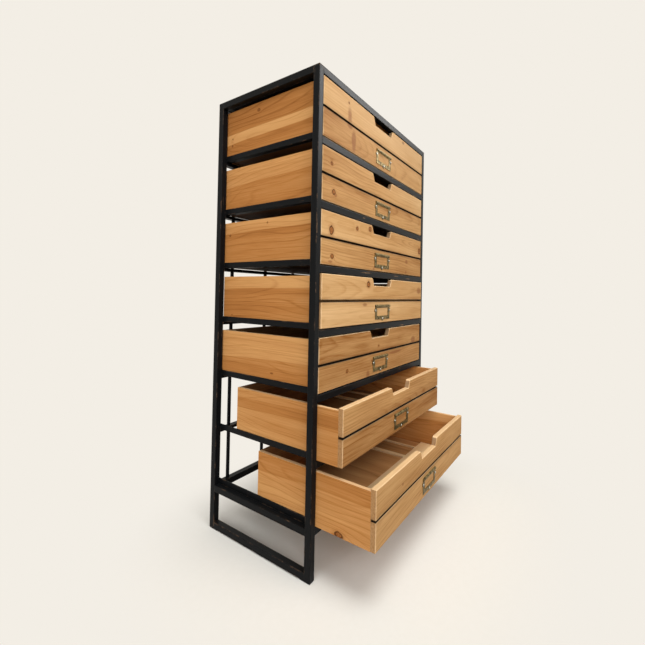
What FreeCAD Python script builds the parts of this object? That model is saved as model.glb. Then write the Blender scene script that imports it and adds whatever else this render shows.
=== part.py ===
import FreeCAD, Part
import os
import re
import Sketcher

# A seven-drawer chest: a welded frame of black square tube, open at the sides and back, with seven pine
# drawers that slide on steel angles. X runs to the right, Y to the back, Z up. The origin is on the floor,
# under the middle of the chest with its drawers standing open as SIZES says.

# Name, millimetres and meaning of each size that can be set by itself.
SIZES = (
    ("FrameWidth", 798, "across the outer faces of the legs"),
    ("FrameDepth", 410, "from the front faces of the legs to their rear faces"),
    ("BaseRailTop", 139, "top of the base rails above the foot of the legs"),
    ("RailPitch", 178, "from one front rail to the next"),
    ("TopOpening", 173, "clear height of the top drawer's opening"),
    ("TubeSide", 20, "side of the square tube"),
    ("TubeWall", 1.5, "wall of the tubes"),
    ("RearRailHeight", 10, "height of the flat tubes that are the rear rails between the drawers"),
    ("PadThick", 3, "thickness of the pads under the frame"),
    ("PadLength", 34, "length of a pad, front to back"),
    ("PadInset", 1.5, "from the edges of the tube to the edges of a pad"),
    ("RunnerLeg", 18, "leg of the angles that carry the drawers"),
    ("RunnerWall", 2, "thickness of those angles"),
    ("GuardHeight", 25, "height of the flat bars under the angles on the right"),
    ("GuardThick", 2, "thickness of those flat bars"),
    ("RodDiameter", 12, "thickness of the upright rods at the back"),
    ("RodInset", 6, "from the rear face of the frame to the middle of a rod"),
    ("RodEdge", 47, "from the inner face of a rear leg to the middle of the first rod"),
    ("TopThick", 15, "thickness of the boards in the top"),
    ("TopGap", 1, "gap between those boards"),
    ("LedgeWidth", 20, "width of the flat bars under the top boards"),
    ("LedgeThick", 3, "thickness of those flat bars"),
    ("FrontThick", 15, "thickness of the drawers' front boards"),
    ("FrontEase", 2.5, "rounding of the front boards' outer edges"),
    ("BoardGap", 4.5, "groove between the upper and the lower front board"),
    ("FrontRise", 3, "gap between a front and the rail below it"),
    ("FrontDrop", 2.5, "gap between a front and the rail above it"),
    ("EndGap", 3, "gap between a drawer and the inner face of a leg"),
    ("RunGap", 0.3, "running clearance between a drawer and its angles"),
    ("StopGap", 1, "gap between a closed drawer and the rods"),
    ("SideThick", 12, "thickness of the drawer sides"),
    ("SideDrop", 6, "from the top of a front down to the top of the sides behind it"),
    ("BoxFrontThick", 10, "thickness of the board behind the front boards"),
    ("BoxFrontDrop", 12, "from the bottom of the notch down to the top of that board"),
    ("BackThick", 12, "thickness of the drawer backs"),
    ("BottomThick", 5, "thickness of the drawer bottoms"),
    ("StripThick", 6, "thickness of the strips on the drawer bottoms"),
    ("FrontStrip", 135, "width of the strip along the front of a drawer bottom"),
    ("WideStrip", 20, "width of the wider strip, front to back"),
    ("NarrowStrip", 8, "width of the narrower strip, front to back"),
    ("WideStripOut", 185, "from the middle of a drawer to the middle of its wider strip"),
    ("NarrowStripOut", 295, "from the middle of a drawer to the middle of its narrower strip"),
    ("NotchTop", 150, "width of the finger notch at the top of the front"),
    ("NotchBottom", 126, "width of the finger notch at its bottom"),
    ("NotchDepth", 26, "depth of the finger notch"),
    ("NotchRound", 8, "rounding of the notch's upper corners"),
    ("LabelWidth", 112, "width of a label holder's frame"),
    ("LabelHeight", 51, "height of a label holder's frame"),
    ("LabelThick", 1.5, "thickness of a label holder's plate"),
    ("WindowWidth", 84, "width of the label window"),
    ("WindowHeight", 28, "height of the label window"),
    ("WindowRise", 12, "from the bottom of the holder to the window"),
    ("HoodRadius", 5, "radius of the half-round bar along the top of a holder"),
    ("LugRadius", 7, "radius of the holder's three screw lugs"),
    ("LugInset", 2, "from the holder's edge in to the middle of a lug"),
    ("LugRise", 31, "from the bottom of the holder up to its side lugs"),
    ("ScrewRadius", 3.6, "radius of the label screws' heads"),
    ("ScrewHeight", 2.2, "height of the label screws' heads"),
    ("ScrewRound", 1.4, "rounding of the label screws' heads"),
    ("Open1", 0, "how far the top drawer stands open"),
    ("Open2", 0, "how far the second drawer stands open"),
    ("Open3", 0, "how far the third drawer stands open"),
    ("Open4", 5, "how far the fourth drawer stands open"),
    ("Open5", 0, "how far the fifth drawer stands open"),
    ("Open6", 81, "how far the sixth drawer stands open"),
    ("Open7", 179, "how far the bottom drawer stands open"),
)

DRAWERS = 7
RODS = 5
TOP_BOARDS = 5

# Planes and lengths that several pieces share, as formulas of the sizes.
ZERO = "0"
REACH = "(Open7 + HoodRadius)"
FRONT = f"({REACH} / 2 - FrameDepth / 2)"
REAR = f"({FRONT} + FrameDepth)"
OUTER_LEFT = "(-FrameWidth / 2)"
OUTER_RIGHT = "(FrameWidth / 2)"
INNER_LEFT = f"({OUTER_LEFT} + TubeSide)"
INNER_RIGHT = f"({OUTER_RIGHT} - TubeSide)"
INNER_WIDTH = "(FrameWidth - 2 * TubeSide)"
INNER_DEPTH = "(FrameDepth - 2 * TubeSide)"
LEG_LENGTH = f"(BaseRailTop + {DRAWERS - 1} * RailPitch + TopOpening + TubeSide)"
FRAME_TOP = f"(PadThick + {LEG_LENGTH})"
TOP_RAIL_UNDER = f"({FRAME_TOP} - TubeSide)"
DRAWER_WIDTH = f"({INNER_WIDTH} - 2 * EndGap)"
DRAWER_LEFT = f"({INNER_LEFT} + EndGap)"
DRAWER_LENGTH = "(FrameDepth - RodInset - RodDiameter / 2 - StopGap)"
BOX_LENGTH = f"({DRAWER_LENGTH} - FrontThick)"
BOX_WIDTH = f"({DRAWER_WIDTH} - 2 * SideThick)"
COMPARTMENT_LENGTH = f"({BOX_LENGTH} - BoxFrontThick - BackThick)"

doc = FreeCAD.newDocument("Chest")
sheet = doc.addObject("Spreadsheet::Sheet", "Sizes")
nodes = []


def fill_sheet():
    for row, (name, value, meaning) in enumerate(SIZES, start=1):
        sheet.set(f"A{row}", name)
        sheet.set(f"B{row}", str(value))
        sheet.set(f"C{row}", meaning)
        sheet.setAlias(f"B{row}", name)
    doc.recompute()


def formula(text):
    """The text with every size's name read from the sheet."""
    return re.sub(r"[A-Z]\w*", lambda name: "Sizes." + name.group(0), text)


def bind(item, **formulas):
    for name, text in formulas.items():
        item.setExpression(name, formula(text))


def place(item, corner):
    for axis, text in zip("xyz", corner):
        item.setExpression(f"Placement.Base.{axis}", formula(text))


def node(item, label):
    """Marks an object as a sub-part that is written to a file of its own."""
    item.Label = label
    nodes.append(item)
    return item


def group(label, pieces):
    together = doc.addObject("Part::Compound", "Group")
    together.Links = pieces
    return node(together, label)


def block(size, corner):
    """A rectangular board or bar: its sizes along X, Y and Z, and its lowest corner."""
    board = doc.addObject("Part::Box", "Block")
    bind(board, Length=size[0], Width=size[1], Height=size[2])
    place(board, corner)
    return board


def cut(base, tool):
    result = doc.addObject("Part::Cut", "Cut")
    result.Base = base
    result.Tool = tool
    return result


def disc(radius, thickness, centre):
    """A flat disc that stands out towards the front from its centre."""
    plate = doc.addObject("Part::Cylinder", "Disc")
    bind(plate, Radius=radius, Height=thickness)
    plate.Placement.Rotation = FreeCAD.Rotation(FreeCAD.Vector(1, 0, 0), 90)
    place(plate, centre)
    return plate


def tube(axis, length, corner, height="TubeSide", closed_top=False):
    """A length of tube along an axis. A closed tube has a cap on its upper end."""
    side = ["TubeSide", "TubeSide", height]
    bore = [f"{across} - 2 * TubeWall" for across in side]
    start = [f"{place_of} + TubeWall" for place_of in corner]
    along = "XYZ".index(axis)
    side[along] = length
    bore[along] = f"{length} - TubeWall" if closed_top else length
    start[along] = corner[along]
    return cut(block(side, corner), block(bore, start))


def front_sketch(body):
    """An empty sketch on a body's upright plane, which looks to the front."""
    sketch = body.newObject("Sketcher::SketchObject", "Outline")
    for feature in body.Origin.OriginFeatures:
        if feature.Role == "XZ_Plane":
            sketch.AttachmentSupport = (feature, "")
    sketch.MapMode = "FlatFace"
    return sketch


def outline(body, points):
    """A closed sketch through points, each given by two formulas that are never negative."""
    sketch = front_sketch(body)
    count = len(points)
    for index in range(count):
        # The start points lie on a circle until the constraints draw them to their places.
        ends = [FreeCAD.Vector(1, 0, 0), FreeCAD.Vector(1, 0, 0)]
        ends[0] = FreeCAD.Rotation(FreeCAD.Vector(0, 0, 1), 360 * index / count).multVec(ends[0])
        ends[1] = FreeCAD.Rotation(FreeCAD.Vector(0, 0, 1), 360 * (index + 1) / count).multVec(ends[1])
        sketch.addGeometry(Part.LineSegment(*ends))
    for index in range(count):
        sketch.addConstraint(Sketcher.Constraint("Coincident", index, 2, (index + 1) % count, 1))
    for index, point in enumerate(points):
        for kind, text in zip(("DistanceX", "DistanceY"), point):
            number = sketch.addConstraint(Sketcher.Constraint(kind, -1, 1, index, 1, 1.0))
            sketch.setExpression(f"Constraints[{number}]", formula(text))
    return sketch


def padded(body, sketch, depth, corner, backwards):
    pad = body.newObject("PartDesign::Pad", "Pad")
    pad.Profile = sketch
    pad.Reversed = backwards
    bind(pad, Length=depth)
    place(body, corner)
    doc.recompute()
    return body


def shaped(points, depth, corner):
    """A body with the given outline in front view, padded to the back by a depth."""
    body = doc.addObject("PartDesign::Body", "Body")
    return padded(body, outline(body, points), depth, corner, backwards=True)


def screw_head(centre):
    """A rounded screw head that stands out to the front."""
    body = doc.addObject("PartDesign::Body", "Screw")
    sketch = front_sketch(body)
    sketch.addGeometry(Part.Circle(FreeCAD.Vector(0, 0, 0), FreeCAD.Vector(0, 0, 1), 1.0))
    sketch.addConstraint(Sketcher.Constraint("Coincident", 0, 3, -1, 1))
    number = sketch.addConstraint(Sketcher.Constraint("Radius", 0, 1.0))
    sketch.setExpression(f"Constraints[{number}]", formula("ScrewRadius"))
    padded(body, sketch, "ScrewHeight", centre, backwards=False)
    head = body.Tip.Shape
    rim = [
        f"Edge{number}"
        for number, edge in enumerate(head.Edges, start=1)
        if edge.BoundBox.YMax < head.BoundBox.Center.y
    ]
    fillet(body, body.Tip, rim, "ScrewRound")
    return body


def rail_top(level):
    """Top of the front and rear rails, counted up from the base rails at level 0."""
    return f"(PadThick + BaseRailTop + {level} * RailPitch)"


def opening_top(level, rail_height="TubeSide"):
    """Underside of the rail that closes the opening above a level's rails."""
    if level == DRAWERS - 1:
        return TOP_RAIL_UNDER
    return f"({rail_top(level + 1)} - {rail_height})"


def make_legs():
    legs = []
    for x in (OUTER_LEFT, INNER_RIGHT):
        for y in (FRONT, f"({REAR} - TubeSide)"):
            legs.append(tube("Z", LEG_LENGTH, (x, y, "PadThick"), closed_top=True))
    group("legs", legs)


def cross_rails(y, z, height="TubeSide"):
    return tube("X", INNER_WIDTH, (INNER_LEFT, y, z), height)


def side_rails(x, z):
    return tube("Y", INNER_DEPTH, (x, f"({FRONT} + TubeSide)", z))


def ring(label, z):
    """Four rails between the legs at one height."""
    across = [cross_rails(y, z) for y in (FRONT, f"({REAR} - TubeSide)")]
    along = [side_rails(x, z) for x in (OUTER_LEFT, INNER_RIGHT)]
    group(label, across + along)


def make_rails():
    ring("top_rails", TOP_RAIL_UNDER)
    ring("base_rails", f"({rail_top(0)} - TubeSide)")
    group("floor_rails", [side_rails(x, "PadThick") for x in (OUTER_LEFT, INNER_RIGHT)])
    levels = range(1, DRAWERS)
    group("front_rails", [cross_rails(FRONT, f"({rail_top(level)} - TubeSide)") for level in levels])
    low = "RearRailHeight"
    rear = f"({REAR} - TubeSide)"
    group("rear_rails", [cross_rails(rear, f"({rail_top(level)} - {low})", low) for level in levels])


def make_pads():
    inset = "PadInset"
    width = "TubeSide - 2 * PadInset"
    pads = []
    for x in (f"{OUTER_LEFT} + {inset}", f"{INNER_RIGHT} + {inset}"):
        for y in (f"{FRONT} + {inset}", f"{REAR} - {inset} - PadLength"):
            pads.append(block((width, "PadLength", "PadThick"), (x, y, ZERO)))
    group("foot_pads", pads)


def make_guards():
    """Flat bars under the angles on the right, which half close the gaps between the drawers."""
    guards = []
    for level in range(1, DRAWERS):
        corner = (f"{INNER_RIGHT} - GuardThick", f"{FRONT} + TubeSide", f"{rail_top(level)} - GuardHeight")
        guards.append(block(("GuardThick", INNER_DEPTH, "GuardHeight"), corner))
    return guards


def make_runners():
    """Two steel angles at each level: they rest on the rails and lie against the legs' inner faces."""
    left = ((ZERO, ZERO), ("RunnerLeg", ZERO), ("RunnerLeg", "RunnerWall"),
            ("RunnerWall", "RunnerWall"), ("RunnerWall", "RunnerLeg"), (ZERO, "RunnerLeg"))
    right = [(f"RunnerLeg - {across}", up) for across, up in reversed(left)]
    start = f"({FRONT} + FrontThick)"
    length = "FrameDepth - FrontThick"
    runners = []
    for level in range(DRAWERS):
        for points, x in ((left, INNER_LEFT), (right, f"({INNER_RIGHT} - RunnerLeg)")):
            runners.append(shaped(points, length, (x, start, rail_top(level))))
    group("drawer_runners", runners + make_guards())


def make_rods():
    """Upright rods between the rear rails, which keep the drawers from leaving at the back."""
    first = f"({INNER_LEFT} + RodEdge)"
    step = f"(({INNER_WIDTH} - 2 * RodEdge) / {RODS - 1})"
    rods = []
    for level in range(DRAWERS):
        length = f"{opening_top(level, 'RearRailHeight')} - {rail_top(level)}"
        for index in range(RODS):
            rod = doc.addObject("Part::Cylinder", "Rod")
            bind(rod, Radius="RodDiameter / 2", Height=length)
            place(rod, (f"{first} + {index} * {step}", f"{REAR} - RodInset", rail_top(level)))
            rods.append(rod)
    group("rear_rods", rods)


def make_top():
    """Boards let into the top rails, on two flat bars."""
    width = f"(({INNER_DEPTH} - {TOP_BOARDS + 1} * TopGap) / {TOP_BOARDS})"
    under = f"({FRAME_TOP} - TopThick)"
    first = f"({FRONT} + TubeSide + TopGap)"
    boards = []
    for index in range(TOP_BOARDS):
        corner = (f"{INNER_LEFT} + TopGap", f"{first} + {index} * ({width} + TopGap)", under)
        boards.append(block((f"{INNER_WIDTH} - 2 * TopGap", width, "TopThick"), corner))
    group("top_boards", boards)
    ledges = []
    for x in (INNER_LEFT, f"({INNER_RIGHT} - LedgeWidth)"):
        corner = (x, f"{FRONT} + TubeSide", f"{under} - LedgeThick")
        ledges.append(block(("LedgeWidth", INNER_DEPTH, "LedgeThick"), corner))
    group("top_ledges", ledges)


def ease_front(body, corner_round=None):
    """Rounds the edges of a board's front face, and the notch's upper corners where it has a notch."""
    base = body.Tip
    if corner_round:
        base = fillet(body, base, notch_corners(base.Shape), corner_round)
    at_front = [
        f"Edge{number}"
        for number, edge in enumerate(base.Shape.Edges, start=1)
        if abs(edge.BoundBox.YMin) < Part.Precision.confusion() * 100
        and abs(edge.BoundBox.YMax) < Part.Precision.confusion() * 100
    ]
    fillet(body, base, at_front, "FrontEase")


def fillet(body, base, edges, radius):
    rounding = body.newObject("PartDesign::Fillet", "Rounding")
    rounding.Base = (base, edges)
    bind(rounding, Radius=radius)
    body.Tip = rounding
    doc.recompute()
    return rounding


def notch_corners(shape):
    """The two edges, front to back, where the notch meets the top of its board, away from the ends."""
    box = shape.BoundBox
    found = []
    for number, edge in enumerate(shape.Edges, start=1):
        across = edge.BoundBox
        runs_back = across.YLength > box.YLength / 2
        at_top = abs(across.ZMax - box.ZMax) < Part.Precision.confusion() * 100
        inside = across.XMin > box.XMin + box.XLength / 100 and across.XMax < box.XMax - box.XLength / 100
        if runs_back and at_top and inside:
            found.append(f"Edge{number}")
    return found


def notched(width, height):
    """Outline of a board with the finger notch in its upper edge."""
    middle = f"({width}) / 2"
    floor = f"{height} - NotchDepth"
    return (
        (ZERO, ZERO),
        (width, ZERO),
        (width, height),
        (f"{middle} + NotchTop / 2", height),
        (f"{middle} + NotchBottom / 2", floor),
        (f"{middle} - NotchBottom / 2", floor),
        (f"{middle} - NotchTop / 2", height),
        (ZERO, height),
    )


def plain(width, height):
    """Outline of a board with no notch."""
    return ((ZERO, ZERO), (width, ZERO), (width, height), (ZERO, height))


def make_label_holder(number, face, board_bottom, board_height):
    """A brass frame for a paper label, held by three round-headed screws."""
    left = "(-LabelWidth / 2)"
    bottom = f"({board_bottom} + ({board_height} - LabelHeight) / 2)"
    plate_front = f"({face} - LabelThick)"
    plate = block(("LabelWidth", "LabelThick", "LabelHeight"), (left, plate_front, bottom))
    centres = (
        (f"{left} + LugInset", f"{bottom} + LugRise"),
        (f"-({left}) - LugInset", f"{bottom} + LugRise"),
        (ZERO, f"{bottom} + LugInset"),
    )
    lugs = [disc("LugRadius", "LabelThick", (x, face, z)) for x, z in centres]
    hood = doc.addObject("Part::Cylinder", "Hood")
    bind(hood, Radius="HoodRadius", Height="LabelWidth")
    hood.Angle = 180
    # The flat of the half-round lies on the front board, and its round side looks forward.
    to_right = FreeCAD.Vector(1, 0, 0)
    to_front = FreeCAD.Vector(0, -1, 0)
    upwards = FreeCAD.Vector(0, 0, 1)
    hood.Placement.Rotation = FreeCAD.Rotation(upwards, to_front, to_right)
    place(hood, (left, face, f"{bottom} + LabelHeight - HoodRadius"))
    outer = doc.addObject("Part::MultiFuse", "Holder")
    outer.Shapes = [plate, hood] + lugs
    outer.Refine = True
    window_left = "(-WindowWidth / 2)"
    window = block(
        ("WindowWidth", "2 * LabelThick", "WindowHeight"),
        (window_left, f"{face} - 2 * LabelThick", f"{bottom} + WindowRise"),
    )
    holder = cut(outer, window)
    screws = [screw_head((x, plate_front, z)) for x, z in centres]
    group(f"drawer_{number}_label_holder", [holder] + screws)


def make_drawer(number):
    level = DRAWERS - number
    face = f"({FRONT} - Open{number})"
    front_bottom = f"({rail_top(level)} + FrontRise)"
    front_top = f"({opening_top(level)} - FrontDrop)"
    board_height = f"(({front_top} - {front_bottom} - BoardGap) / 2)"
    box_start = f"({face} + FrontThick)"
    box_bottom = f"({rail_top(level)} + RunnerWall + RunGap)"
    box_top = f"({front_top} - SideDrop)"
    box_height = f"({box_top} - {box_bottom})"
    inner_left = f"({DRAWER_LEFT} + SideThick)"
    inner_start = f"({box_start} + BoxFrontThick)"
    name = f"drawer_{number}"

    upper_bottom = f"({front_top} - {board_height})"
    upper = shaped(notched(DRAWER_WIDTH, board_height), "FrontThick", (DRAWER_LEFT, face, upper_bottom))
    ease_front(upper, corner_round="NotchRound")
    lower = shaped(plain(DRAWER_WIDTH, board_height), "FrontThick", (DRAWER_LEFT, face, front_bottom))
    ease_front(lower)
    group(f"{name}_front_boards", [upper, lower])

    # The board that holds the two front boards together ends below the notch, out of the fingers' way.
    box_front_height = f"({front_top} - NotchDepth - BoxFrontDrop - {box_bottom})"
    box_front = block((BOX_WIDTH, "BoxFrontThick", box_front_height), (inner_left, box_start, box_bottom))
    node(box_front, f"{name}_box_front")

    side_size = ("SideThick", BOX_LENGTH, box_height)
    right_x = f"({DRAWER_LEFT} + {DRAWER_WIDTH} - SideThick)"
    sides = [block(side_size, (x, box_start, box_bottom)) for x in (DRAWER_LEFT, right_x)]
    group(f"{name}_sides", sides)

    back_y = f"({inner_start} + {COMPARTMENT_LENGTH})"
    back = block((BOX_WIDTH, "BackThick", box_height), (inner_left, back_y, box_bottom))
    node(back, f"{name}_back")

    bottom = block((BOX_WIDTH, COMPARTMENT_LENGTH, "BottomThick"), (inner_left, inner_start, box_bottom))
    node(bottom, f"{name}_bottom")

    # Strips glued on the bottom: one along the front, and two that run from it to the back.
    floor = f"({box_bottom} + BottomThick)"
    strips = [block((BOX_WIDTH, "FrontStrip", "StripThick"), (inner_left, inner_start, floor))]
    strip_start = f"({inner_start} + FrontStrip)"
    strip_length = f"({COMPARTMENT_LENGTH} - FrontStrip)"
    for middle, width in (("WideStripOut", "WideStrip"), ("NarrowStripOut", "NarrowStrip")):
        corner = (f"{middle} - {width} / 2", strip_start, floor)
        strips.append(block((width, strip_length, "StripThick"), corner))
    group(f"{name}_floor_strips", strips)

    make_label_holder(number, face, front_bottom, board_height)


def check_document():
    for item in doc.Objects:
        if {"Invalid", "Error"} & set(item.State):
            raise RuntimeError(f"{item.Name} could not be built: {item.State}")
    for item in nodes:
        if item.Shape.isNull() or not item.Shape.isValid() or not item.Shape.Solids:
            raise RuntimeError(f"{item.Label} is not a valid solid")


def write_parts():
    os.makedirs("parts", exist_ok=True)
    for item in nodes:
        item.Shape.exportStep(f"parts/{item.Label}.step")


fill_sheet()
make_legs()
make_rails()
make_pads()
make_runners()
make_rods()
make_top()
for drawer_number in range(1, DRAWERS + 1):
    make_drawer(drawer_number)
doc.recompute()
check_document()
write_parts()
print(f"{len(nodes)} sub-parts, {sum(len(item.Shape.Solids) for item in nodes)} solids")
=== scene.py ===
import math

import bpy
from mathutils import Matrix, Vector


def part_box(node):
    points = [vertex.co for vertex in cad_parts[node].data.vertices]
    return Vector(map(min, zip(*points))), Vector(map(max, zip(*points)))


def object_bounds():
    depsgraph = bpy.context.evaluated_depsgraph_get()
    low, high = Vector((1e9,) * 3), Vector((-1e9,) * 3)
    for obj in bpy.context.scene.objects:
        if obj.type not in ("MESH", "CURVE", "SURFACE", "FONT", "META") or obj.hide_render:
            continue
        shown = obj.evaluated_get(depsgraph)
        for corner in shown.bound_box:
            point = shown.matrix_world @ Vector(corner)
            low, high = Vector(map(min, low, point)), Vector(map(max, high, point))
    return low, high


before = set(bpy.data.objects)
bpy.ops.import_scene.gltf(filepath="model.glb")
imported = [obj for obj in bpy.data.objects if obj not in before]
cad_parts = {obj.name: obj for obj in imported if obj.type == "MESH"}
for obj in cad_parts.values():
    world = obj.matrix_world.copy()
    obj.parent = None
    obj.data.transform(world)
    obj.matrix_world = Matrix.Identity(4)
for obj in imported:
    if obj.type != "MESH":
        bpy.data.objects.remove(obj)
cad_low, cad_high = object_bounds()

MM = 0.001
DRAWERS = 7
TOP_BOARDS = 5
TOP_GAP = 1 * MM
# Width of the boards that a drawer's bottom is glued up from.
BOTTOM_BOARD = 92 * MM

# Places on the chest, in metres, read from the frame: the top of the lowest rails, the step from one drawer
# to the next, the front of the frame, half the width of a drawer, and the boards in the top.
RAIL_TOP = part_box("base_rails")[1].z
RAIL_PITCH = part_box("drawer_6_bottom")[0].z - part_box("drawer_7_bottom")[0].z
FRAME_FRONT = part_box("legs")[0].y
HALF_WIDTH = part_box("drawer_1_front_boards")[1].x
TOP_START, TOP_END = (corner.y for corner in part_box("top_boards"))
TOP_PITCH = (TOP_END - TOP_START + TOP_GAP) / TOP_BOARDS

# A label holder: its height, its screws across and up from its middle in millimetres, the radius of a
# screw's head, and half the width of its slot, at the edges and on the floor.
HOLDER_HEIGHT = 51 * MM
SCREWS = ((-54, 5.5), (54, 5.5), (0, -23.5))
SCREW_RADIUS = 3.6 * MM
SLOT_EDGE = 0.55 * MM
SLOT_FLOOR = 0.4 * MM

# Knots on the front boards: X and Z of the middle, half length and half height, in millimetres.
FRONT_KNOTS = (
    (-241, 1358, 4, 3), (-330, 1147, 6, 5), (-317, 1068, 8, 7), (-326, 957, 10, 12), (-178, 983, 7, 6),
    (-91, 994, 9, 8), (-320, 883, 7, 6), (357, 965, 11, 12), (-105, 809, 10, 9), (-14, 598, 5, 3),
    (-62, 552, 5, 3), (-225, 541, 6, 5),
)
# Fainter streaks of resin on the front boards, given in the same way.
FRONT_STREAKS = (
    (-235, 1322, 16, 24), (-234, 1292, 15, 11), (-209, 1251, 13, 30), (170, 1370, 12, 6), (-308, 1060, 8, 5),
    (-330, 867, 12, 4), (221, 908, 12, 7), (216, 867, 10, 6), (-62, 863, 7, 4), (-128, 742, 19, 7),
    (346, 796, 23, 13), (303, 593, 20, 12), (-90, 510, 15, 18), (125, 562, 55, 6), (-213, 251, 6, 4),
)
# Knots on the left sides: Y and Z of the middle, half length and half height, in millimetres.
SIDE_KNOTS = (
    (136, 1350, 5, 4), (254, 1260, 3, 3), (255, 962, 3, 3), (-186, 150, 13, 8), (253, 1283, 2, 2),
    (89, 990, 2, 2), (238, 700, 2, 2), (59, 534, 5, 2),
)
# Scratches on the front of the rails and of the left leg, given as the knots on the front boards are.
RAIL_SCRATCHES = (
    (-136, 1024, 12, 3), (343, 1016, 14, 2), (-112, 847, 46, 2), (123, 847, 30, 2), (240, 842, 26, 2),
    (187, 659, 24, 3), (-29, 657, 34, 2),
)
LEG_SCRATCHES = ((-397, 953, 1.5, 30), (-397, 790, 1, 16))
# How far such a mark reaches inwards, in metres: through all drawers, through one side, or skin deep.
THROUGH = 9.0
ONE_SIDE = 0.3
SKIN = 0.01

# Light, middle and dark wood, and sawn ends. Colours are as a screen shows them, from 0 to 255.
FRONT_TONES = ((230, 188, 134), (203, 155, 99), (150, 96, 45), (178, 138, 96))
SIDE_TONES = ((227, 171, 108), (192, 129, 69), (142, 83, 36), (140, 104, 70))
INNER_TONES = ((224, 180, 128), (196, 148, 100), (150, 104, 64), (150, 116, 82))
# The backs' tones are darker than the other inner boards, a painted shade for the shade that they stand in.
SHADED_BACK_TONES = ((168, 126, 82), (142, 100, 62), (104, 68, 39), (120, 90, 62))
FLOOR_TONES = ((250, 191, 128), (228, 164, 102), (172, 114, 64), (150, 112, 78))
STRIP_TONES = ((255, 222, 170), (252, 208, 150), (222, 172, 116), (200, 168, 126))
# How much darker than the lightest wood each front board is, from the lowest up, and each side, left and
# right by turns.
FRONT_SHADES = (0.34, 0.38, 0.66, 0.48, 0.54, 0.64, 0.18, 0.26, 0.52, 0.3, 0.54, 0.32, 0.48, 0.19)
SIDE_SHADES = (0.38, 0.32, 0.22, 0.28, 0.38, 0.3, 0.35, 0.32, 0.39, 0.26, 0.4, 0.32, 0.4, 0.32)
# How much darker again each front board is at its right end, and lighter at its left end: partly the
# board's own tone, partly painted shade where the light falls off to the right, and on the upper drawers
# partly a painted sheen where a board grows lighter to the right. Then the same for the sides, from front
# to back.
FRONT_LEANS = (0.07, 0.04, 0.02, 0.11, -0.04, 0.0, 0.12, 0.13, 0.05, 0.1, -0.07, -0.2, -0.16, -0.03)
SIDE_LEANS = (-0.04, 0.0, -0.24, 0.0, 0.05, 0.0, 0.25, 0.0, 0.12, 0.0, 0.09, 0.0, 0.12, 0.0)
# A zone on each of those sides: its lower and upper edge in millimetres above the drawer's groove, and how
# much darker it is than the rest of the board.
SIDE_ZONES = (
    (-90, 18, -0.26), (30, 90, -0.25), (14, 46, 0.2), (-20, 20, -0.25), (-5, 90, -0.3), (20, 90, 0.2),
    (36, 90, -0.3), (-90, -10, -0.25), (40, 90, -0.35), (0, 34, 0.2), (18, 90, -0.25), (-30, 30, -0.25),
    (-26, 8, -0.5), (24, 90, 0.2),
)
# Zones lie within this height, half of it below the groove and half above, in millimetres.
ZONE_SPAN = 200

# Every board starts somewhere else in the pattern: up to so far along the grain, across it and into the
# wood, in metres.
START_ALONG = 9.0
START_ACROSS = 160 * MM
START_DEEP = 3.0
# The heart of the tree lies this far behind a board's face at least, up to so much further, and is tilted.
HEART_NEAREST = 20 * MM
HEART_SPREAD = 50 * MM
HEART_TILT = 0.2
# How far streaks shift the growth rings, and how far a knot does.
STREAK_SHIFT = 4 * MM
KNOT_SHIFT = 8 * MM
# Fibres to the metre, along the grain and across it.
FIBRES_ALONG = 14.0
FIBRES_ACROSS = 520.0
# Distances from the middle of the groove: where its dark fill of dirt and painted shade is thickest, where
# that ends, and where the grime and painted shade beside it end.
GROOVE_DARKEST = 3 * MM
GROOVE_DARK_ENDS = 4.8 * MM
GRIME_AND_SHADE_END = 14 * MM
# On the lowest drawer the dark fill in the groove, dirt and painted shade, has this share of its full width,
# which it reaches two drawers further up.
LOWEST_GROOVE = 0.76
# The ends of the finger notch lie within the first of these distances from the middle, and all other ends
# beyond the second.
NOTCH_INSIDE = 85 * MM
NOTCH_OUTSIDE = 95 * MM
# Where the painted shade on the drawers' bottoms starts, and where it is thickest, from front to back.
REAR_SHADE_STARTS = -200 * MM
REAR_SHADE_FULL = 100 * MM
# Steel is worn this near to its edges.
WORN_WIDTH = 4 * MM

# Colours of marks and dirt on the wood, and of painted shade and painted light on it.
RESIN = (138, 82, 50)
KNOT_HALO = (166, 104, 54)
KNOT_DARK = (128, 74, 34)
KNOT_LIGHT = (178, 116, 64)
KNOT_RIM = (66, 34, 16)
RUBBED_AND_LIT_EDGE = (238, 206, 162)
PALE_AND_LIT_TOP = (244, 214, 168)
BROWN_SHADE = (58, 35, 20)
THIN_GRIME_AND_SHADE = (96, 60, 32)
GROOVE_DIRT_AND_SHADE = (14, 9, 6)
NOTCH_SHADE = (92, 58, 30)
# Colours of metal and rubber.
BLACKENED = ((10, 11, 12), (18, 19, 20))
DRAWN_STEEL = (34, 35, 36)
WORN_STEEL = (132, 104, 80)
BRASS = (134, 115, 70)
PATINA = (66, 57, 34)
SCREW_STEEL = (176, 172, 162)
SLOT_SHADE = (50, 46, 38)
RUBBER = ((24, 24, 25), (40, 40, 41))

# The studio: its backdrop, its paper floor, and what that floor throws back on the chest.
PALE = (243, 238, 229)
PAPER = ((239, 236, 227), (244, 241, 233))
PAPER_BOUNCE = (180, 171, 159)
# Light, as shares of red, green and blue.
WHITE_LIGHT = (1.0, 1.0, 1.0)
DAYLIGHT = (0.92, 0.945, 1.0)
AMBIENT = (1.0, 0.925, 0.79, 1.0)
AMBIENT_STRENGTH = 0.26
SOFTBOX_SPREAD = math.radians(80.0)
FLOOR_HALF = 60.0
# The paper is lit near the chest, but not along the rear of its box, and turns into backdrop between two
# distances from there.
UNLIT_REAR = 0.16
LIT_UP_TO = 0.05
PLAIN_FROM = 0.45

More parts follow.
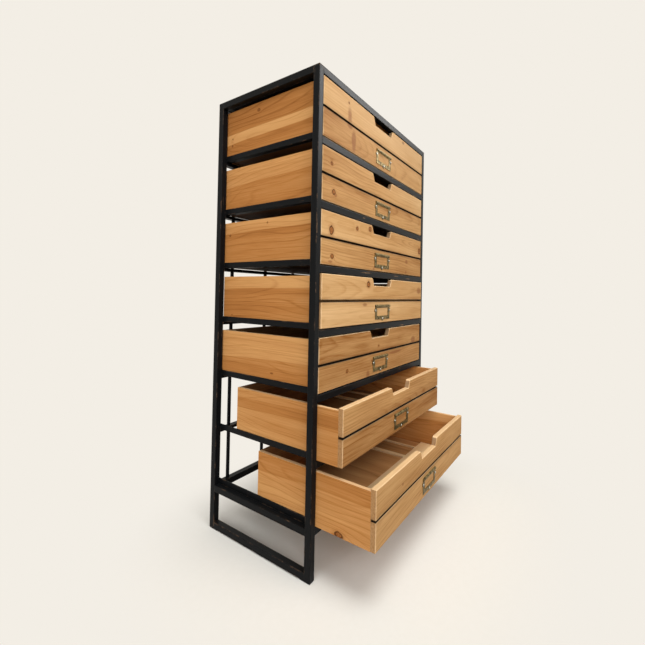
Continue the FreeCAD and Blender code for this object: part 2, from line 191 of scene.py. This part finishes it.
# The camera stands at the left, a little over half the chest's height, and looks very slightly up. Its focal
# length and the middle of its lens are in pixels of the picture.
CAMERA_PLACE = (-1.232, -0.7116, 0.7758)
AZIMUTH = math.radians(-53.49)
PITCH = math.radians(0.95)
ROLL = math.radians(1.14)
IMAGE = 645
FOCAL = 381.6
PRINCIPAL = (310.0, 287.0)
SENSOR_MM = 36.0
NEAREST = 0.05


def above_rail(height, number):
    """How far a height lies above the rail of a drawer. Drawer 1 is the top one."""
    return height - RAIL_TOP - (DRAWERS - number) * RAIL_PITCH


def groove_of(number):
    """Height of the groove between a drawer's two front boards."""
    low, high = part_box(f"drawer_{number}_front_boards")
    return above_rail((low.z + high.z) / 2, number)


def holder_of(number):
    """Height of the middle of a drawer's label holder."""
    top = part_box(f"drawer_{number}_label_holder")[1].z
    return above_rail(top - HOLDER_HEIGHT / 2, number)


# For most drawers, and for the taller one at the top.
GROOVE = (groove_of(DRAWERS), groove_of(1))
HOLDER = (holder_of(DRAWERS), holder_of(1))


def linear(colour):
    """A colour as it shows on a screen, 0 to 255, as a shader takes it."""
    channels = []
    for shown in colour:
        part = shown / 255
        channels.append(part / 12.92 if part <= 0.04045 else ((part + 0.055) / 1.055) ** 2.4)
    return (*channels, 1.0)


def grey(value):
    return (value, value, value, 1.0)


def front_marks(places, y, reach):
    """Marks on faces that look to the front, as middles and half sizes in metres."""
    return [((x * MM, y, z * MM), (length * MM, reach, height * MM)) for x, z, length, height in places]


def side_marks(places, x, reach):
    """Marks on faces that look to the side, as middles and half sizes in metres."""
    return [((x, y * MM, z * MM), (reach, length * MM, height * MM)) for y, z, length, height in places]


class Nodes:
    """A tree of nodes, made by short calls. Most of them give the socket that they end in."""

    def __init__(self, owner):
        owner.use_nodes = True
        self.tree = owner.node_tree
        self.tree.nodes.clear()

    def node(self, kind, **settings):
        made = self.tree.nodes.new(kind)
        for key, value in settings.items():
            setattr(made, key, value)
        return made

    def feed(self, socket, value):
        """Links a socket to another one, or sets its value."""
        if isinstance(value, bpy.types.NodeSocket):
            self.tree.links.new(value, socket)
        else:
            socket.default_value = value

    def split(self, vector):
        parts = self.node("ShaderNodeSeparateXYZ")
        self.feed(parts.inputs[0], vector)
        return parts.outputs

    def join(self, x, y, z):
        whole = self.node("ShaderNodeCombineXYZ")
        for socket, value in zip(whole.inputs, (x, y, z)):
            self.feed(socket, value)
        return whole.outputs[0]

    def maths(self, operation, *values):
        made = self.node("ShaderNodeMath", operation=operation)
        for socket, value in zip(made.inputs, values):
            self.feed(socket, value)
        return made.outputs[0]

    def total(self, first, *others):
        for other in others:
            first = self.maths("ADD", first, other)
        return first

    def times(self, first, *others):
        for other in others:
            first = self.maths("MULTIPLY", first, other)
        return first

    def swing(self, value, amount):
        """A value from 0 to 1 as a change of so much in all, half of it down and half up."""
        return self.maths("MULTIPLY_ADD", value, amount, -amount / 2)

    def vector(self, operation, *values):
        made = self.node("ShaderNodeVectorMath", operation=operation)
        for socket, value in zip(made.inputs, values):
            self.feed(socket, value)
        return made.outputs["Value"] if operation in ("LENGTH", "DOT_PRODUCT") else made.outputs[0]

    def remap(self, value, low, high, to_low=0.0, to_high=1.0, smooth=False):
        """Takes a value between two limits to another two, and stops at them."""
        made = self.node("ShaderNodeMapRange", interpolation_type="SMOOTHSTEP" if smooth else "LINEAR")
        for socket, given in zip(made.inputs, (value, low, high, to_low, to_high)):
            self.feed(socket, given)
        return made.outputs[0]

    def noise(self, position, scale=1.0, detail=2.0, roughness=0.5):
        made = self.node("ShaderNodeTexNoise")
        self.feed(made.inputs["Vector"], position)
        self.feed(made.inputs["Scale"], scale)
        self.feed(made.inputs["Detail"], detail)
        self.feed(made.inputs["Roughness"], roughness)
        return made.outputs[0]

    def chance(self, number):
        """Three random channels for a whole number."""
        made = self.node("ShaderNodeTexWhiteNoise", noise_dimensions="1D")
        self.feed(made.inputs["W"], number)
        return self.split(made.outputs["Color"])

    def ramp(self, value, stops, interpolation="LINEAR"):
        made = self.node("ShaderNodeValToRGB")
        made.color_ramp.interpolation = interpolation
        elements = made.color_ramp.elements
        while len(elements) < len(stops):
            elements.new(1.0)
        for element, (place, colour) in zip(elements, stops):
            element.position = place
            element.color = colour
        self.feed(made.inputs[0], value)
        return made.outputs[0]

    def mix(self, share, first, second):
        made = self.node("ShaderNodeMix", data_type="RGBA")
        self.feed(made.inputs[0], share)
        self.feed(made.inputs[6], first)
        self.feed(made.inputs[7], second)
        return made.outputs[2]

    def shown(self):
        """1 for what the camera sees, straight on, mirrored or through glass, and 0 for other rays."""
        rays = self.node("ShaderNodeLightPath").outputs
        straight_or_mirrored = self.maths("MAXIMUM", rays["Is Camera Ray"], rays["Is Glossy Ray"])
        return self.maths("MAXIMUM", straight_or_mirrored, rays["Is Transmission Ray"])

    def either(self, share, first, second):
        """One surface where a share is 0, and another where it is 1."""
        made = self.node("ShaderNodeMixShader")
        for socket, value in zip(made.inputs, (share, first, second)):
            self.feed(socket, value)
        return made.outputs[0]


class Shader(Nodes):
    """A material in the coordinates of the CAD model, in metres."""

    def __init__(self, name):
        self.material = bpy.data.materials.new(name)
        super().__init__(self.material)
        self.position = self.node("ShaderNodeTexCoord").outputs["Object"]

    def stretched(self, along, axis, across):
        """The position with so many waves to the metre along one axis, and across it."""
        waves = [across, across, across]
        waves["XYZ".index(axis)] = along
        return self.vector("MULTIPLY", self.position, waves)

    def level_of(self, z, mark):
        """Which drawer a height belongs to, 0 for the lowest, and how far it is above a mark on it."""
        usual, at_top = mark
        steps = self.maths("DIVIDE", self.maths("SUBTRACT", z, RAIL_TOP), RAIL_PITCH)
        level = self.maths("MINIMUM", self.maths("FLOOR", steps), DRAWERS - 1.0)
        is_top = self.maths("GREATER_THAN", level, DRAWERS - 1.5)
        place = self.maths("MULTIPLY_ADD", is_top, at_top - usual, RAIL_TOP + usual)
        place = self.maths("MULTIPLY_ADD", level, RAIL_PITCH, place)
        return level, self.maths("SUBTRACT", z, place)

    def nearest(self, position, marks):
        """How far a point is from the nearest of some marks, in sizes of the mark."""
        found = None
        for middle, size in marks:
            away = self.vector("SUBTRACT", position, middle)
            away = self.vector("MULTIPLY", away, [1 / part for part in size])
            far = self.vector("LENGTH", away)
            found = far if found is None else self.maths("MINIMUM", found, far)
        return found

    def bump(self, height, distance, strength=1.0):
        made = self.node("ShaderNodeBump")
        made.inputs["Strength"].default_value = strength
        made.inputs["Distance"].default_value = distance
        self.feed(made.inputs["Height"], height)
        return made

    def surface(self, colour, roughness, metallic=0.0, specular=0.5, bump=None):
        made = self.node("ShaderNodeBsdfPrincipled")
        self.feed(made.inputs["Base Color"], colour)
        self.feed(made.inputs["Roughness"], roughness)
        made.inputs["Metallic"].default_value = metallic
        made.inputs["Specular IOR Level"].default_value = specular
        if bump is not None:
            self.feed(made.inputs["Normal"], bump.outputs[0])
        return made.outputs[0]

    def close(self, surface):
        output = self.node("ShaderNodeOutputMaterial")
        self.feed(output.inputs["Surface"], surface)
        return self.material


class Pine(Shader):
    """Pine boards with their grain along one axis, and a rule that numbers them.

    Each board has its own figure: growth rings, bands, fibres and streaks. The calls that follow make its
    depth of tone, then its colour, and last its surface.
    """

    def __init__(self, name, grain, thick, across, rule, seed, knots=()):
        super().__init__(name)
        self.axes = dict(zip("XYZ", self.split(self.position)))
        self.grain = grain
        self.thick = thick
        self.across = across
        self.level, self.height = self.level_of(self.axes["Z"], GROOVE)
        self.number = rule(self)
        self.luck = self.chance(self.maths("ADD", self.number, seed))
        self.knot = self.nearest(self.position, knots) if knots else None
        self.normal = self.split(self.node("ShaderNodeNewGeometry").outputs["True Normal"])
        self.facing = {axis: self.maths("ABSOLUTE", part) for axis, part in zip("XYZ", self.normal)}
        self.sawn_end = self.remap(self.facing[grain], 0.7, 0.9)

        # Along the grain, across the face and into the board, with a fresh start for every board.
        face = self.height if across == "Z" else self.axes[across]
        self.along = self.maths("MULTIPLY_ADD", self.luck[0], START_ALONG, self.axes[grain])
        self.over = self.total(face, self.swing(self.luck[1], START_ACROSS))
        deep = self.maths("MULTIPLY_ADD", self.luck[2], START_DEEP, self.axes[thick])

        self.slow = self.figure(lengthwise=2.2, crosswise=9.0, detail=1.0)
        self.streak = self.figure(lengthwise=2.4, crosswise=150.0, detail=4.0, roughness=0.62)
        self.blotch = self.figure(lengthwise=5.0, crosswise=26.0, detail=3.0)
        fine = [self.times(way, FIBRES_ACROSS) for way in (self.over, deep)]
        fibres = self.join(self.times(self.along, FIBRES_ALONG), *fine)
        self.fibre = self.noise(fibres, detail=3.0, roughness=0.65)

    def figure(self, lengthwise, crosswise, detail, roughness=0.5):
        """Noise drawn out along the grain, with so many waves to the metre each way."""
        place = self.join(self.times(self.along, lengthwise), self.times(self.over, crosswise), self.number)
        return self.noise(place, detail=detail, roughness=roughness)

    def growth_rings(self, width, waves, late):
        """Rings round a heart that lies behind the face. The later wood of each year is dark."""
        tilt = self.swing(self.luck[0], HEART_TILT)
        behind = self.maths("MULTIPLY_ADD", self.luck[2], HEART_SPREAD, HEART_NEAREST)
        heart = self.maths("MULTIPLY_ADD", self.axes[self.grain], tilt, behind)
        radius = self.vector("LENGTH", self.join(self.over, heart, 0.0))
        shift = self.times(self.streak, STREAK_SHIFT)
        radius = self.total(radius, self.swing(self.slow, 2 * waves), shift)
        if self.knot is not None:
            # The rings give way to a knot.
            near = self.maths("EXPONENT", self.times(self.knot, self.knot, -0.22))
            radius = self.total(radius, self.times(near, KNOT_SHIFT))
        year = self.maths("FRACT", self.maths("DIVIDE", radius, width))
        tones = ((0.0, 0.25), (0.06, 0.0), (late, 0.12), (0.92, 1.0), (1.0, 0.25))
        rings = self.ramp(year, [(place, grey(tone)) for place, tone in tones])
        return self.times(rings, self.remap(self.slow, 0.3, 0.7, 0.35, 1.0))

    def figured(self, ring=8 * MM, rings_show=0.25, bands_show=0.3, waves=0.03, contrast=1.0, blotches=0.5,
                threads=0.14, late=0.6):
        """Depth of tone by the figure alone."""
        self.rings = self.growth_rings(ring, waves, late)
        bands = self.figure(lengthwise=0.6, crosswise=22.0, detail=1.5)
        thread = self.figure(lengthwise=1.6, crosswise=330.0, detail=2.0)
        return self.total(
            self.times(self.rings, rings_show),
            self.times(self.remap(bands, 0.38, 0.62, smooth=True), bands_show),
            self.swing(self.fibre, 0.4),
            self.swing(self.streak, 0.6 * contrast),
            self.swing(self.blotch, blotches),
            self.times(self.remap(thread, 0.56, 0.7, smooth=True), threads),
        )

    def listed(self, colours):
        """For every board, the colour that a list gives it."""
        place = self.maths("DIVIDE", self.maths("ADD", self.number, 0.5), float(len(colours)))
        stops = [(index / len(colours), colour) for index, colour in enumerate(colours)]
        return self.ramp(place, stops, "CONSTANT")

    def shaded(self, shades):
        return self.listed([grey(shade) for shade in shades])

    def shaded_by_chance(self):
        return self.maths("MULTIPLY_ADD", self.luck[0], 0.25, 0.12)

    def leaning(self, leans):
        """Darker at one end of a board and lighter at the other."""
        lean = self.maths("SUBTRACT", self.listed([grey(0.5 + lean) for lean in leans]), 0.5)
        return self.times(self.axes[self.grain], 1 / HALF_WIDTH, lean)

    def zoned(self, zones):
        """A lighter or darker zone of each board, between two heights and with edges that wander."""
        colours = [
            (0.5 + low / ZONE_SPAN, 0.5 + high / ZONE_SPAN, 0.5 + shade / 2, 1.0)
            for low, high, shade in zones
        ]
        low, high, shade = self.split(self.listed(colours))
        slope = self.times(self.axes[self.grain], 0.15)
        wander = self.total(self.swing(self.slow, 0.1), self.swing(self.streak, 0.05), slope)
        here = self.total(self.maths("MULTIPLY_ADD", self.height, 1 / (ZONE_SPAN * MM), 0.5), wander)
        above = self.remap(self.maths("SUBTRACT", here, low), -0.01, 0.01, smooth=True)
        below = self.remap(self.maths("SUBTRACT", high, here), -0.01, 0.01, smooth=True)
        return self.times(above, below, self.maths("MULTIPLY_ADD", shade, 2.0, -1.0))

    def toned(self, depth, tones):
        light, middle, dark, _ = tones
        return self.ramp(depth, ((0.0, linear(light)), (0.5, linear(middle)), (1.0, linear(dark))))

    def resinous(self, colour, streaks):
        far = self.total(self.nearest(self.position, streaks), self.swing(self.blotch, 1.6))
        streaked = self.times(self.remap(far, 1.3, 0.6, smooth=True), 0.6)
        return self.mix(streaked, colour, linear(RESIN))

    def knotted(self, colour):
        """Knots with a reddish halo, a dark rim and a ringed heart."""
        uneven = self.total(self.knot, self.swing(self.noise(self.position, 110.0, 3.0), 1.0))
        halo = self.times(self.remap(uneven, 2.2, 0.9, smooth=True), 0.45)
        colour = self.mix(halo, colour, linear(KNOT_HALO))
        rings = self.maths("MULTIPLY_ADD", self.maths("SINE", self.times(uneven, 15.0)), 0.5, 0.5)
        heart = self.mix(rings, linear(KNOT_DARK), linear(KNOT_LIGHT))
        colour = self.mix(self.remap(uneven, 1.1, 0.8, smooth=True), colour, heart)
        inner = self.remap(uneven, 0.62, 0.92, smooth=True)
        outer = self.remap(uneven, 1.2, 1.0, smooth=True)
        return self.mix(self.times(inner, outer, 0.85), colour, linear(KNOT_RIM))

    def cut(self, colour, tones):
        """Sawn ends are greyer and mottled, and eased edges are paler, partly rubbed and partly a painted
        highlight.
        """
        across = self.times(self.axes[self.across], 160.0)
        through = self.times(self.axes[self.thick], 420.0)
        mottle = self.noise(self.join(across, through, self.number), detail=4.0, roughness=0.7)
        _, middle, dark, sawn = tones
        end = self.ramp(mottle, ((0.3, linear(dark)), (0.5, linear(sawn)), (0.72, linear(middle))))
        colour = self.mix(self.times(self.sawn_end, 0.85), colour, end)
        straight = self.maths("MAXIMUM", self.facing["X"], self.facing["Y"])
        straight = self.maths("MAXIMUM", straight, self.facing["Z"])
        eased = self.remap(straight, 0.998, 0.95, smooth=True)
        rubbed_and_lit = self.remap(self.noise(self.position, 34.0, 3.0, 0.6), 0.35, 0.6, 0.1, 0.6)
        return self.mix(self.times(eased, rubbed_and_lit), colour, linear(RUBBED_AND_LIT_EDGE))

    def pale_and_lit_on_top(self, colour):
        # Faces that look up are paler: partly raw wood on the top edges, partly painted light from above.
        upward = self.remap(self.normal[2], 0.3, 0.9, 0.0, 0.5, smooth=True)
        return self.mix(upward, colour, linear(PALE_AND_LIT_TOP))

    def waxed(self, colour):
        relief = self.total(self.times(self.fibre, 0.7), self.times(self.rings, 0.5))
        roughness = self.maths("MULTIPLY_ADD", self.fibre, 0.2, 0.5)
        bump = self.bump(relief, distance=0.35 * MM, strength=0.35)
        return self.close(self.surface(colour, roughness, specular=0.05, bump=bump))


def by_height(wood):
    """Front boards: two to a drawer, one above the other."""
    return wood.maths("MULTIPLY_ADD", wood.level, 2.0, wood.maths("GREATER_THAN", wood.height, 0.0))


def by_side(wood):
    """Drawer sides: those on the left and those on the right of the middle."""
    return wood.maths("MULTIPLY_ADD", wood.level, 2.0, wood.maths("GREATER_THAN", wood.axes["X"], 0.0))


def by_level(wood):
    """One board to a drawer. The numbers start above those of the fronts and sides."""
    return wood.maths("ADD", wood.level, 40.0)


def by_width(wood):
    """Boards that lie side by side from left to right, fewer than twenty to a drawer."""
    board = wood.maths("FLOOR", wood.times(wood.axes["X"], 1 / BOTTOM_BOARD))
    return wood.maths("MULTIPLY_ADD", wood.level, 20.0, board)


def by_depth(wood):
    """Boards of the top, which lie side by side from front to back."""
    from_first = wood.maths("SUBTRACT", wood.axes["Y"], TOP_START - TOP_GAP / 2)
    return wood.maths("FLOOR", wood.maths("DIVIDE", from_first, TOP_PITCH))


def front_pine():
    knots = front_marks(FRONT_KNOTS, 0.0, THROUGH)
    wood = Pine("pine_front", "X", "Y", "Z", by_height, seed=3.0, knots=knots)
    figure = wood.figured(rings_show=0.22, bands_show=0.16, contrast=0.75)
    # The front leans carry painted shade and painted sheen along the boards, as well as their tone.
    depth = wood.total(figure, wood.shaded(FRONT_SHADES), wood.leaning(FRONT_LEANS))
    colour = wood.toned(depth, FRONT_TONES)
    colour = wood.resinous(colour, front_marks(FRONT_STREAKS, 0.0, THROUGH))
    colour = wood.knotted(colour)
    colour = wood.cut(colour, FRONT_TONES)
    colour = wood.pale_and_lit_on_top(colour)

    # Dirt and painted shade fill the groove between the two front boards, and thin out beside it.
    apart = wood.maths("ABSOLUTE", wood.height)
    beside = wood.remap(apart, GRIME_AND_SHADE_END, GROOVE_DARKEST, smooth=True)
    grime_and_shade = wood.times(beside, wood.remap(wood.blotch, 0.3, 0.7, 0.1, 0.4))
    colour = wood.mix(grime_and_shade, colour, linear(THIN_GRIME_AND_SHADE))
    spread = wood.remap(wood.level, 0.0, 2.0, LOWEST_GROOVE, 1.0)
    dirt_and_shade = wood.remap(wood.maths("DIVIDE", apart, spread), GROOVE_DARK_ENDS, GROOVE_DARKEST, smooth=True)
    colour = wood.mix(wood.times(dirt_and_shade, 0.97), colour, linear(GROOVE_DIRT_AND_SHADE))

    # The sloping ends of the finger notch are darkened with painted shade.
    notch = wood.remap(wood.maths("ABSOLUTE", wood.axes["X"]), NOTCH_OUTSIDE, NOTCH_INSIDE)
    colour = wood.mix(wood.times(wood.sawn_end, notch, 0.6), colour, linear(NOTCH_SHADE))
    return wood.waxed(colour)


def side_pine():
    knots = side_marks(SIDE_KNOTS, -HALF_WIDTH, ONE_SIDE)
    wood = Pine("pine_side", "Y", "X", "Z", by_side, seed=5.0, knots=knots)
    figure = wood.figured(
        ring=14 * MM, rings_show=0.28, bands_show=0.14, waves=0.05, contrast=0.45, blotches=0.2, threads=0.2,
        late=0.76,
    )
    shade = wood.total(wood.shaded(SIDE_SHADES), wood.leaning(SIDE_LEANS), wood.zoned(SIDE_ZONES))
    colour = wood.knotted(wood.toned(wood.total(figure, shade), SIDE_TONES))
    return wood.waxed(wood.pale_and_lit_on_top(wood.cut(colour, SIDE_TONES)))


def bottom_pine():
    wood = Pine("pine_bottom", "Y", "Z", "X", by_width, seed=23.0)
    depth = wood.total(wood.figured(), wood.shaded_by_chance())
    colour = wood.cut(wood.toned(depth, FLOOR_TONES), FLOOR_TONES)
    # Painted shade darkens the undersides that lie over another drawer, and the bottoms towards the rear.
    downward = wood.remap(wood.normal[2], -0.3, -0.9, 0.0, 0.75, smooth=True)
    over_another = wood.remap(wood.level, 0.0, 1.0)
    colour = wood.mix(wood.times(downward, over_another), colour, linear(BROWN_SHADE))
    rear = wood.remap(wood.axes["Y"], REAR_SHADE_STARTS, REAR_SHADE_FULL, 0.0, 0.6, smooth=True)
    return wood.waxed(wood.mix(rear, colour, linear(BROWN_SHADE)))


def plain_pine(name, grain, thick, across, rule, tones, seed, **figure):
    wood = Pine(name, grain, thick, across, rule, seed)
    depth = wood.total(wood.figured(**figure), wood.shaded_by_chance())
    return wood.waxed(wood.cut(wood.toned(depth, tones), tones))


def steel(name, axis, scratches=()):
    """Blackened steel tube: drawn along one axis, rubbed along its edges and speckled with rust."""
    metal = Shader(name)
    streaks = metal.noise(metal.stretched(5.0, axis, 260.0), detail=3.0, roughness=0.6)
    cloud = metal.noise(metal.position, 9.0, 4.0, 0.6)
    speck = metal.noise(metal.position, 240.0, 2.0, 0.5)
    darkest, lightest = BLACKENED
    colour = metal.mix(cloud, linear(darkest), linear(lightest))
    colour = metal.mix(metal.times(streaks, 0.3), colour, linear(DRAWN_STEEL))

    # Where a rounded corner's direction departs from the flat face, the black has been rubbed away.
    corner = metal.node("ShaderNodeBevel", samples=6)
    corner.inputs["Radius"].default_value = WORN_WIDTH
    flat = metal.node("ShaderNodeNewGeometry").outputs["True Normal"]
    turn = metal.maths("SUBTRACT", 1.0, metal.vector("DOT_PRODUCT", corner.outputs[0], flat))
    edge = metal.remap(turn, 0.005, 0.12, smooth=True)
    patch = metal.remap(metal.noise(metal.position, 22.0, 5.0, 0.7), 0.5, 0.68, smooth=True)
    flecks = metal.times(metal.remap(speck, 0.72, 0.8), metal.remap(cloud, 0.5, 0.68), 0.6)
    worn = metal.maths("MAXIMUM", metal.times(edge, patch, 0.7), flecks)

    # Scratches along the tube show in a few places only.
    scuff = metal.noise(metal.stretched(9.0, axis, 60.0), detail=4.0, roughness=0.75)
    worn = metal.maths("MAXIMUM", worn, metal.times(metal.remap(scuff, 0.6, 0.68, smooth=True), patch, 0.4))
    if scratches:
        ragged = metal.maths("MULTIPLY_ADD", metal.noise(metal.position, 150.0, 4.0, 0.7), 4.0, -1.8)
        far = metal.total(metal.nearest(metal.position, scratches), ragged)
        marked = metal.times(metal.remap(far, 1.0, 0.6, smooth=True), 0.9)
        worn = metal.maths("MAXIMUM", worn, marked)
    colour = metal.mix(worn, colour, linear(WORN_STEEL))

    roughness = metal.total(metal.maths("MULTIPLY_ADD", streaks, 0.14, 0.32), metal.times(worn, 0.25))
    bump = metal.bump(metal.total(streaks, metal.times(cloud, 0.6)), distance=0.3 * MM, strength=0.3)
    metal.feed(bump.inputs["Normal"], corner.outputs[0])
    return metal.close(metal.surface(colour, roughness, specular=0.08, bump=bump))


def label_brass(name):
    """Brass with a brown patina in patches and fine scratches, and bright slotted screws."""
    brass = Shader(name)
    x, _, z = brass.split(brass.position)
    patina = brass.remap(brass.noise(brass.position, 120.0, 4.0, 0.65), 0.38, 0.66, smooth=True)
    scratch = brass.noise(brass.stretched(2600.0, "Z", 300.0))
    colour = brass.mix(patina, linear(BRASS), linear(PATINA))

    # The two screws at the sides have a level slot, and the one in the middle an upright slot; each slot is
    # a painted shade in place of its recess.
    _, height = brass.level_of(z, HOLDER)
    heads = [((across * MM, 0.0, up * MM), [SCREW_RADIUS] * 3) for across, up in SCREWS]
    head = brass.remap(brass.nearest(brass.join(x, 0.0, height), heads), 1.06, 1.0)
    from_slot = brass.maths("ABSOLUTE", brass.maths("SUBTRACT", height, SCREWS[0][1] * MM))
    level_slot = brass.remap(from_slot, SLOT_EDGE, SLOT_FLOOR)
    upright_slot = brass.remap(brass.maths("ABSOLUTE", x), SLOT_EDGE, SLOT_FLOOR)
    slot = brass.times(brass.maths("MAXIMUM", level_slot, upright_slot), 0.85)
    colour = brass.mix(head, colour, brass.mix(slot, linear(SCREW_STEEL), linear(SLOT_SHADE)))

    roughness = brass.total(brass.maths("MULTIPLY_ADD", patina, 0.22, 0.34), brass.times(scratch, 0.1))
    roughness = brass.times(roughness, brass.remap(head, 0.0, 1.0, 1.0, 0.6))
    bump = brass.bump(scratch, distance=0.1 * MM, strength=0.25)
    return brass.close(brass.surface(colour, roughness, metallic=1.0, bump=bump))


def rubber(name):
    pad = Shader(name)
    grain = pad.noise(pad.position, 900.0, 3.0, 0.6)
    darkest, lightest = RUBBER
    colour = pad.mix(grain, linear(darkest), linear(lightest))
    roughness = pad.maths("MULTIPLY_ADD", grain, 0.2, 0.7)
    return pad.close(pad.surface(colour, roughness, specular=0.3, bump=pad.bump(grain, distance=0.4 * MM)))


def dress(node, material):
    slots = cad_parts[node].data.materials
    slots.clear()
    slots.append(material)


def dress_frame():
    rail_scratches = front_marks(RAIL_SCRATCHES, FRAME_FRONT, SKIN)
    leg_scratches = front_marks(LEG_SCRATCHES, FRAME_FRONT, SKIN)
    across = steel("steel_across", "X", rail_scratches)
    along = steel("steel_depth", "Y")
    upright = steel("steel_upright", "Z", leg_scratches)
    for node in ("top_rails", "base_rails", "front_rails", "rear_rails"):
        dress(node, across)
    for node in ("floor_rails", "drawer_runners", "top_ledges"):
        dress(node, along)
    for node in ("legs", "rear_rods"):
        dress(node, upright)
    dress("top_boards", plain_pine("pine_top", "X", "Z", "Y", by_depth, SIDE_TONES, seed=37.0))
    dress("foot_pads", rubber("foot_rubber"))


def dress_drawers():
    materials = {
        "front_boards": front_pine(),
        "box_front": plain_pine("pine_box_front", "X", "Y", "Z", by_level, INNER_TONES, seed=11.0),
        "sides": side_pine(),
        "back": plain_pine("pine_back", "X", "Y", "Z", by_level, SHADED_BACK_TONES, seed=17.0),
        "bottom": bottom_pine(),
        "floor_strips": plain_pine(
            "pine_strip", "X", "Z", "Y", by_level, STRIP_TONES, seed=31.0, rings_show=0.15, bands_show=0.2
        ),
        "label_holder": label_brass("antique_brass"),
    }
    for number in range(1, DRAWERS + 1):
        for kind, material in materials.items():
            dress(f"drawer_{number}_{kind}", material)


def add(made):
    bpy.context.scene.collection.objects.link(made)
    return made


def place_camera():
    level = math.cos(PITCH)
    forward = Vector((-math.sin(AZIMUTH) * level, math.cos(AZIMUTH) * level, math.sin(PITCH)))
    level_right = Vector((math.cos(AZIMUTH), math.sin(AZIMUTH), 0.0))
    level_up = level_right.cross(forward)
    right = level_right * math.cos(ROLL) + level_up * math.sin(ROLL)
    up = level_up * math.cos(ROLL) - level_right * math.sin(ROLL)
    camera = add(bpy.data.objects.new("camera", bpy.data.cameras.new("camera")))
    turned = Matrix((right, up, -forward)).transposed().to_4x4()
    camera.matrix_world = Matrix.Translation(CAMERA_PLACE) @ turned
    camera.data.sensor_width = SENSOR_MM
    camera.data.lens = FOCAL / IMAGE * SENSOR_MM
    camera.data.shift_x = (IMAGE / 2 - PRINCIPAL[0]) / IMAGE
    camera.data.shift_y = (PRINCIPAL[1] - IMAGE / 2) / IMAGE
    camera.data.clip_start = NEAREST
    bpy.context.scene.camera = camera


def hang(name, light, direction, place=(0.0, 0.0, 0.0)):
    """Puts up a light that shines from a direction."""
    made = add(bpy.data.objects.new(name, light))
    made.location = place
    made.rotation_euler = Vector(direction).to_track_quat("Z", "Y").to_euler()
    made.visible_camera = False
    return made


def far_lamp(name, direction, strength, spread, colour):
    light = bpy.data.lights.new(name, "SUN")
    light.color = colour
    light.energy = strength
    light.angle = math.radians(spread)
    hang(name, light, direction)


def softbox(name, place, target, size, power, colour):
    light = bpy.data.lights.new(name, "AREA")
    light.color = colour
    light.size = size
    light.energy = power
    light.spread = SOFTBOX_SPREAD
    return hang(name, light, Vector(place) - Vector(target), place)


def light_studio():
    """Soft light from above, from the left and from the front, and a world that looks like the backdrop."""
    far_lamp("overhead", direction=(-0.06, -0.2, 1.0), strength=1.55, spread=32.0, colour=WHITE_LIGHT)
    far_lamp("fill", direction=(-0.9, -0.38, 0.4), strength=1.74, spread=60.0, colour=DAYLIGHT)
    softbox(
        "near_left", place=(-0.75, -1.55, 1.7), target=(-0.1, -0.1, 0.95),
        size=0.9, power=3.9, colour=DAYLIGHT,
    )
    # This one only gives the sheen along the upper rails.
    sheen = softbox(
        "high_right", place=(1.05, -0.95, 2.2), target=(0.1, -0.1, 1.3),
        size=1.0, power=5.3, colour=WHITE_LIGHT,
    )
    sheen.visible_diffuse = False

    world = bpy.data.worlds.new("studio")
    bpy.context.scene.world = world
    nodes = Nodes(world)
    ambient = nodes.node("ShaderNodeBackground")
    ambient.inputs["Color"].default_value = AMBIENT
    ambient.inputs["Strength"].default_value = AMBIENT_STRENGTH
    backdrop = nodes.node("ShaderNodeBackground")
    backdrop.inputs["Color"].default_value = linear(PALE)
    output = nodes.node("ShaderNodeOutputWorld")
    sky = nodes.either(nodes.shown(), ambient.outputs[0], backdrop.outputs[0])
    nodes.feed(output.inputs["Surface"], sky)


def paper(name):
    """Paper that keeps the chest's shadow, and turns into the backdrop away from it, with no horizon."""
    sheet = Shader(name)
    shown = sheet.shown()
    darkest, lightest = PAPER
    seen_colour = sheet.mix(sheet.noise(sheet.position, 60.0, 3.0, 0.6), linear(darkest), linear(lightest))
    lit = sheet.surface(sheet.mix(shown, linear(PAPER_BOUNCE), seen_colour), 0.9, specular=0.0)
    plain = sheet.node("ShaderNodeEmission")
    plain.inputs["Color"].default_value = linear(PALE)

    middle = (Vector(cad_low) + Vector(cad_high)) / 2
    half = (Vector(cad_high) - Vector(cad_low)) / 2
    lit_middle = (middle.x, middle.y - UNLIT_REAR / 2, 0.0)
    lit_half = (half.x, half.y - UNLIT_REAR / 2, 0.0)
    spot = sheet.vector("ABSOLUTE", sheet.vector("SUBTRACT", sheet.position, lit_middle))
    beside = sheet.vector("MAXIMUM", sheet.vector("SUBTRACT", spot, lit_half), (0.0, 0.0, 0.0))
    away = sheet.remap(sheet.vector("LENGTH", beside), LIT_UP_TO, PLAIN_FROM, smooth=True)
    return sheet.close(sheet.either(sheet.times(away, shown), lit, plain.outputs[0]))


def lay_floor():
    mesh = bpy.data.meshes.new("floor")
    corners = [(-1, -1), (1, -1), (1, 1), (-1, 1)]
    mesh.from_pydata([(x * FLOOR_HALF, y * FLOOR_HALF, 0.0) for x, y in corners], [], [(0, 1, 2, 3)])
    mesh.materials.append(paper("paper_floor"))
    return add(bpy.data.objects.new("floor", mesh))


dress_frame()
dress_drawers()
place_camera()
light_studio()
floor = lay_floor()

bpy.context.scene.view_settings.view_transform = "Standard"
